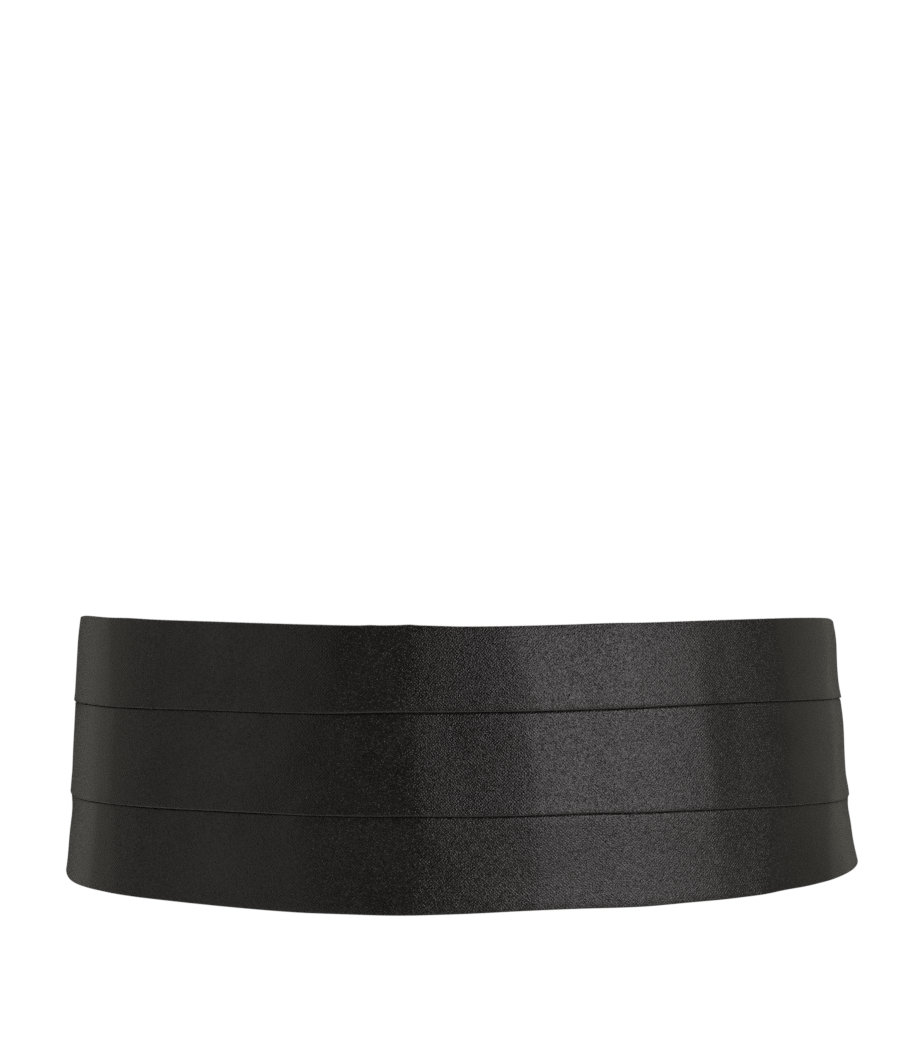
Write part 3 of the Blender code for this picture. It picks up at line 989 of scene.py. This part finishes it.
def rounded_rectangle(low, high, corner, steps=CORNER_STEPS):
    """Points round a rectangle with round corners, anticlockwise."""
    points = []
    corners = (
        (high[0] - corner, high[1] - corner, 0.0),
        (low[0] + corner, high[1] - corner, pi / 2),
        (low[0] + corner, low[1] + corner, pi),
        (high[0] - corner, low[1] + corner, 3 * pi / 2),
    )
    for x, z, start in corners:
        for step in range(steps + 1):
            angle = start + pi / 2 * step / steps
            points.append((x + corner * cos(angle), z + corner * sin(angle)))
    return points


def slide_outlines():
    """The plate's outline and its two slots, in the plate's own plane."""
    plate = rounded_rectangle(
        (BAR_A[0], -SLIDE_HALF_HEIGHT), (BAR_C[1], SLIDE_HALF_HEIGHT), SLIDE_CORNER
    )
    slots = [
        rounded_rectangle((bar[1], -SLOT_HALF_HEIGHT), (after[0], SLOT_HALF_HEIGHT), SLOT_CORNER)
        for bar, after in ((BAR_A, BAR_B), (BAR_B, BAR_C))
    ]
    return [plate, *slots]


def plate_curve(name, outlines):
    """A filled curve with thickness and edges rounded over."""
    curve = bpy.data.curves.new(name, "CURVE")
    curve.dimensions = "2D"
    curve.fill_mode = "BOTH"
    curve.extrude = SLIDE / 2 - SLIDE_ROUNDING
    curve.bevel_depth = SLIDE_ROUNDING
    curve.bevel_resolution = SLIDE_ROUNDING_STEPS
    curve.offset = -SLIDE_ROUNDING
    for points in outlines:
        spline = curve.splines.new("POLY")
        spline.points.add(len(points) - 1)
        for point, (x, z) in zip(spline.points, points):
            point.co = (x, z, 0.0, 1.0)
        spline.use_cyclic_u = True
    return curve


def upright_mesh(name, curve, y):
    """A curve's mesh, stood upright to face along Y."""
    drawn = placed(name, curve)
    drawn.rotation_euler = (pi / 2, 0.0, 0.0)
    drawn.location = (0.0, y, 0.0)
    bpy.context.view_layer.update()
    evaluated = drawn.evaluated_get(bpy.context.evaluated_depsgraph_get())
    mesh = bpy.data.meshes.new_from_object(evaluated)
    mesh.transform(drawn.matrix_world)
    bpy.data.objects.remove(drawn, do_unlink=True)
    return mesh


def weld(mesh):
    """Joins corners that lie together, and turns every face outwards."""
    welded = bmesh.new()
    welded.from_mesh(mesh)
    bmesh.ops.remove_doubles(welded, verts=welded.verts, dist=SLIDE_WELD)
    bmesh.ops.recalc_face_normals(welded, faces=welded.faces)
    welded.to_mesh(mesh)
    welded.free()


def make_slide(material):
    """The flat plate with two slots."""
    name = "hook_slide_plate"
    middle = BACK_DEPTH + SLIDE_INNER_FACE + SLIDE / 2
    mesh = upright_mesh(name, plate_curve(name, slide_outlines()), middle)
    weld(mesh)
    mesh.materials.clear()
    mesh.materials.append(material)
    mesh.shade_smooth()
    mesh.set_sharp_from_angle(angle=SLIDE_SHARP)
    return as_piece(placed(name, mesh), "hook_slide")


def make_hook(material):
    """The tongue that steps down from the plate and curls round the loop's bar."""
    plate_level, over_bar = SLIDE_INNER_FACE + SLIDE / 2, LOOP_LEVEL + HOOK_RADIUS
    path = [(HOOK_ROOT, plate_level), (HOOK_STEP[0], plate_level), (HOOK_STEP[1], over_bar)]
    path.append((0.0, over_bar))
    path += half_circle((0.0, LOOP_LEVEL), HOOK_RADIUS, pi / 2, 1, TURN_STEPS)
    path.append((HOOK_TIP, LOOP_LEVEL - HOOK_RADIUS))
    path = [(x, BACK_DEPTH + out) for x, out in path]
    path, run = even_path(path, HOOK_SPACING, HOOK_SOFTENING)
    edge = HOOK_HALF_WIDTH - HOOK / 2 * np.array(HOOK_EDGE_COLUMNS)
    middle = np.linspace(edge[-1], -edge[-1], HOOK_MIDDLE_COLUMNS + 2)[1:-1]
    across = np.concatenate((edge, middle, -edge[::-1]))
    thickness = HOOK * rounded((HOOK_HALF_WIDTH - np.abs(across)) / (HOOK / 2))
    from_tip = rounded((run[-1] - run) / HOOK_TIP_LENGTH)
    width = HOOK_TIP_WIDTH + (1.0 - HOOK_TIP_WIDTH) * from_tip
    tongue = ribbon("hook_slide_tongue", path, run, across, thickness, material, width)
    return as_piece(tongue, "hook_slide")


def tube(name, points, radius, material):
    """A closed ring of round wire lying in an upright plane that faces +Y."""
    points = np.array(points)
    along = unit(np.roll(points, -1, axis=0) - np.roll(points, 1, axis=0))
    outward = np.cross(along, (0.0, 1.0, 0.0))
    angles = 2 * pi * np.arange(WIRE_SIDES) / WIRE_SIDES
    ring = np.cos(angles)[None, :, None] * outward[:, None, :]
    ring = ring + np.sin(angles)[None, :, None] * np.array((0.0, 1.0, 0.0))
    vertices = (points[:, None, :] + radius * ring).reshape(-1, 3)
    index = np.arange(len(vertices)).reshape(len(points), WIRE_SIDES)
    after, beside = np.roll(index, -1, axis=0), np.roll(index, -1, axis=1)
    both = np.roll(after, -1, axis=1)
    faces = np.stack([part.ravel() for part in (index, beside, both, after)], axis=1)
    places = np.meshgrid(np.arange(len(points)) * MM, angles * radius, indexing="ij")
    return mesh_object(name, vertices, faces, np.stack(places, axis=-1).reshape(-1, 2), material)


def make_eye_loop(material):
    """A wire bent into a rectangle with round corners, between the two straps."""
    low, high = (-LOOP_SPAN, -LOOP_HALF_HEIGHT), (0.0, LOOP_HALF_HEIGHT)
    outline = rounded_rectangle(low, high, LOOP_CORNER, LOOP_CORNER_STEPS)
    points = [(x, BACK_DEPTH + LOOP_LEVEL, z) for x, z in outline]
    wire = tube("eye_loop_wire", points, LOOP_WIRE / 2, material)
    return as_piece(wire, "eye_loop")


# --- Sewing ---


def surface_of(obj):
    """An object's faces, for finding where a line meets them."""
    mesh = obj.data
    return BVHTree.FromPolygons([v.co for v in mesh.vertices], [p.vertices for p in mesh.polygons])


def stitch_points(surface, start, end, towards):
    """Where a straight line of stitches enters a surface, seen along a direction."""
    start, end, towards = Vector(start), Vector(end), Vector(towards).normalized()
    count = round((end - start).length / STITCH_PITCH)
    found = []
    for step in range(count + 1):
        place = start.lerp(end, step / count)
        origin = place - towards * SEAM_SEARCH
        hit, normal, _, _ = surface.ray_cast(origin, towards, 2 * SEAM_SEARCH)
        if hit:
            if normal.dot(towards) > 0:
                normal = -normal
            found.append((np.array(hit), np.array(normal)))
    return found


def stitch_faces():
    """The corners of one stitch's faces: round its rings, and then over its two ends."""
    here = np.arange(STITCH_SIDES)
    beside = (here + 1) % STITCH_SIDES
    last_ring = (len(STITCH_RINGS) - 1) * STITCH_SIDES
    faces = []
    for ring in range(0, last_ring, STITCH_SIDES):
        after = ring + STITCH_SIDES
        faces += zip(ring + here, ring + beside, after + beside, after + here)
    tip = last_ring + STITCH_SIDES
    for ring, middle, order in ((0, tip, -1), (last_ring, tip + 1, 1)):
        for turn in range(0, STITCH_SIDES, 2):
            rim = (ring + (turn + step) % STITCH_SIDES for step in range(3))
            faces.append((middle, *rim)[::order])
    return np.array(faces)


def stitch_thread(first, last):
    """One arched stitch between two (point, normal) pairs: its points and their UVs."""
    along = last[0] - first[0]
    begin, finish = first[0] + along * STITCH_GAP, last[0] - along * STITCH_GAP
    up = unit(first[1] + last[1])
    side = unit(np.cross(along, up))
    up = unit(np.cross(side, along))
    angles = 2 * pi * np.arange(STITCH_SIDES) / STITCH_SIDES
    centres, points, uv = [], [], []
    for ring in STITCH_RINGS:
        centre = begin + (finish - begin) * ring.share + up * ring.rise * STITCH_RADIUS
        centres.append(centre)
        for angle in angles:
            spoke = cos(angle) * side + sin(angle) * up
            points.append(centre + ring.girth * STITCH_RADIUS * spoke)
            uv.append((ring.share * STITCH_PITCH, angle * STITCH_RADIUS))
    points += [centres[0], centres[-1]]
    uv += [(0.0, 0.0)] * 2
    return points, uv


def make_stitches(name, lines, material):
    """Thread in short arched stitches along lines of (point, normal) pairs."""
    pattern = stitch_faces()
    vertices, faces, uv = [], [], []
    for stitch_line in lines:
        for first, last in zip(stitch_line, stitch_line[1:]):
            points, places = stitch_thread(first, last)
            faces.append(pattern + len(vertices))
            vertices += points
            uv += places
    faces = np.concatenate(faces)
    thread = mesh_object(name, np.array(vertices), faces, np.array(uv), material)
    as_piece(thread)


def seam(outside, inside, high, low, inward):
    """One upright line of stitches, as it shows on two surfaces that face opposite ways."""
    outer_line = stitch_points(outside, high, low, inward)
    return [outer_line, stitch_points(inside, high, low, -inward)]


def make_front_seams(front, straps, material):
    """Two upright lines through each end of the front and the strap that lies inside it."""
    outside = surface_of(front)
    for side, label in ((-1, "loop_side"), (1, "hook_side")):
        inside = surface_of(straps[side])
        lines = []
        for angle in END_SEAM_ANGLES:
            high, low = (hollow_points(side * angle, z, 0.0) for z in (SEAM_HALF, -SEAM_HALF))
            inward = hollow_points(side * angle, 0.0, -1.0) - hollow_points(side * angle, 0.0, 0.0)
            lines += seam(outside, inside, high, low, inward)
        make_stitches("end_seam_" + label, lines, material)


def make_strap_seam(strap, side, places, name, material):
    """The upright lines that hold a strap's turned end to the strap."""
    surface = surface_of(strap)
    lines = []
    for x in places:
        high, low = ((side * x, BACK_DEPTH, z) for z in (SEAM_HALF, -SEAM_HALF))
        lines += seam(surface, surface, high, low, INWARD)
    make_stitches(name, lines, material)


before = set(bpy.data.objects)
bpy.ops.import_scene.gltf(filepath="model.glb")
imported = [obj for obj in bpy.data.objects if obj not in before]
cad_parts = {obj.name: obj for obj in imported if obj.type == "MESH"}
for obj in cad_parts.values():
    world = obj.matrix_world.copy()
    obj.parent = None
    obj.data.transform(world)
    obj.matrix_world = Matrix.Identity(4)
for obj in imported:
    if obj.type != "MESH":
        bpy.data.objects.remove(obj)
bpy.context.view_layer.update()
make_camera()
make_world()
make_floor()
for softbox in SOFTBOXES:
    make_softbox(softbox)
webbing, metal, thread = webbing_material(), metal_material(), thread_material()
front = make_front(satin_material())
loop_strap, hook_strap = make_loop_strap(webbing), make_hook_strap(webbing)
make_eye_loop(metal)
make_slide(metal)
make_hook(metal)
make_front_seams(front, {-1: loop_strap, 1: hook_strap}, thread)
make_strap_seam(loop_strap, -1, FOLD_BACK_SEAMS, "fold_back_seam", thread)
make_strap_seam(hook_strap, 1, RETURN_SEAMS, "return_end_seam", thread)
